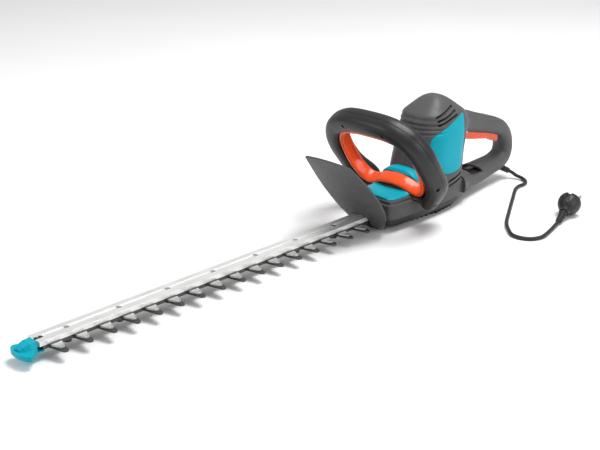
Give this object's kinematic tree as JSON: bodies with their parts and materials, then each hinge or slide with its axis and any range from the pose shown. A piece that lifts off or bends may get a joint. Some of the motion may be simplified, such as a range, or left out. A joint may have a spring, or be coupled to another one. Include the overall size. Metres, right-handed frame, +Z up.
{
  "type": "hedge trimmer",
  "caption": "Corded electric hedge trimmer: upright motor housing, bail front handle with switch ring, rear D handle with trigger, shield and long double blade under a metal guide rail.",
  "frame": {"origin": "on the ground plane under the middle of the tool, lead and plug left out", "axes": "+X along the blade to its tip, +Y to the left of a user who holds the tool, +Z up"},
  "size_m": [0.934, 0.3031, 0.1736],
  "materials": {
    "housing_plastic": "fine grain",
    "dark_plastic": "satin",
    "accent_plastic": "satin gloss",
    "switch_plastic": "satin",
    "soft_grip": "matt",
    "cord_rubber": "satin",
    "rail_aluminium": "drawn satin",
    "blade_steel": "ground",
    "dark_steel": "oiled black",
    "bright_steel": "turned",
    "core_steel": "laminated",
    "copper_wire": "enamelled copper",
    "brass_part": "satin",
    "cast_aluminium": "cast",
    "nylon": "satin"
  },
  "bodies": {
    "tool": {"left_housing": "housing_plastic", "right_housing": "housing_plastic", "base_cover": "dark_plastic", "left_side_panel": "accent_plastic", "right_side_panel": "accent_plastic", "nose_cover": "accent_plastic", "neck_band": "accent_plastic", "hand_guard": "housing_plastic", "guard_screws": "dark_steel", "bail_front_shell": "dark_plastic", "bail_rear_shell": "dark_plastic", "bail_screws": "dark_steel", "front_microswitch": "nylon", "trigger_pin": "bright_steel", "trigger_spring": "bright_steel", "rear_microswitch": "nylon", "grip_inlay": "soft_grip", "cable_hook": "dark_plastic", "housing_screws": "dark_steel", "base_screws": "dark_steel", "strain_relief": "cord_rubber", "inner_lead": "cord_rubber", "cord_clamp": "nylon", "cord": "cord_rubber", "plug_relief": "cord_rubber", "plug_body": "cord_rubber", "plug_pins": "bright_steel", "guide_rail": "rail_aluminium", "rail_screws": "dark_steel", "blade_bolts": "bright_steel", "blade_nuts": "dark_steel", "tip_cap": "accent_plastic", "tip_cap_screws": "dark_steel", "stator_core": "core_steel", "field_coils": "copper_wire", "upper_bearing": "bright_steel", "lower_bearing": "bright_steel", "bearing_bracket": "cast_aluminium", "brush_holders": "brass_part", "carbon_brushes": "nylon", "suppressor": "nylon", "gear_plate": "cast_aluminium", "gear_bush": "brass_part"},
    "gear_train": {"drive_gear": "bright_steel", "gear_shaft": "bright_steel", "upper_eccentric": "bright_steel", "lower_eccentric": "bright_steel"},
    "rotor": {"rotor_shaft": "bright_steel", "armature_core": "core_steel", "armature_windings": "copper_wire", "commutator": "copper_wire", "cooling_fan": "nylon"},
    "upper_blade": {"upper_blade": "blade_steel"},
    "lower_blade": {"lower_blade": "blade_steel"},
    "trigger": {"rear_trigger": "switch_plastic"},
    "switch_ring": {"front_switch_ring": "switch_plastic"}
  },
  "joints": [
    {"name": "gear_spin", "type": "hinge", "parent": "tool", "child": "gear_train", "pos_m": [-0.212, 0, 0.035], "axis": [0, 0, 1], "continuous": true},
    {"name": "rotor_spin", "type": "hinge", "parent": "tool", "child": "rotor", "pos_m": [-0.251, 0, 0.09], "axis": [0, 0, 1], "continuous": true},
    {"name": "upper_blade_slide", "type": "slide", "parent": "tool", "child": "upper_blade", "axis": [1, 0, 0], "range_m": [-0.005, 0.005]},
    {"name": "lower_blade_slide", "type": "slide", "parent": "tool", "child": "lower_blade", "axis": [1, 0, 0], "range_m": [-0.005, 0.005]},
    {"name": "trigger_squeeze", "type": "hinge", "parent": "tool", "child": "trigger", "pos_m": [-0.335, 0, 0.103], "axis": [0, 1, 0], "range_deg": [0, 3.5], "stiffness_Nm_per_rad": 3, "springref_deg": -3.44, "deforming": ["trigger_spring"]},
    {"name": "ring_squeeze", "type": "slide", "parent": "tool", "child": "switch_ring", "axis": [0.515, 0, 0.8572], "range_m": [0, 0.004], "stiffness_N_per_m": 1200, "springref_m": -0.003}
  ],
  "couplings": [
    {"joint": "rotor_spin", "follows": "gear_spin", "ratio": -8.75},
    {"joint": "lower_blade_slide", "follows": "upper_blade_slide", "ratio": -1}
  ]
}
